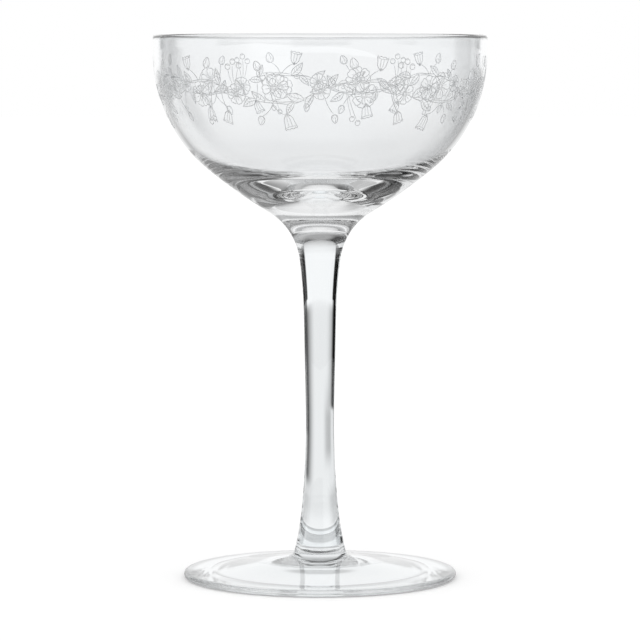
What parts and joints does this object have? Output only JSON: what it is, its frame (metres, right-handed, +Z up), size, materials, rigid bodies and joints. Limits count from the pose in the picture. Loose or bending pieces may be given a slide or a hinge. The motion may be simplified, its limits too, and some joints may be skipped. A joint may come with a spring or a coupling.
{
  "type": "coupe glass",
  "caption": "Stemmed coupe glass in clear glass: a shallow round bowl with a thin rim flows into a slim waisted stem on a spread foot; a light engraved garland rings the bowl.",
  "frame": {"origin": "centre of the foot's resting ring, on the table", "axes": "+Z up along the axis of the glass; +X and +Y level, alike all round"},
  "size_m": [0.095, 0.095, 0.155],
  "materials": {
    "clear_glass": "clear, fire-polished, with a lightly frosted engraved band"
  },
  "bodies": {
    "root": {"bowl": "clear_glass", "stem": "clear_glass", "foot": "clear_glass"}
  },
  "joints": []
}
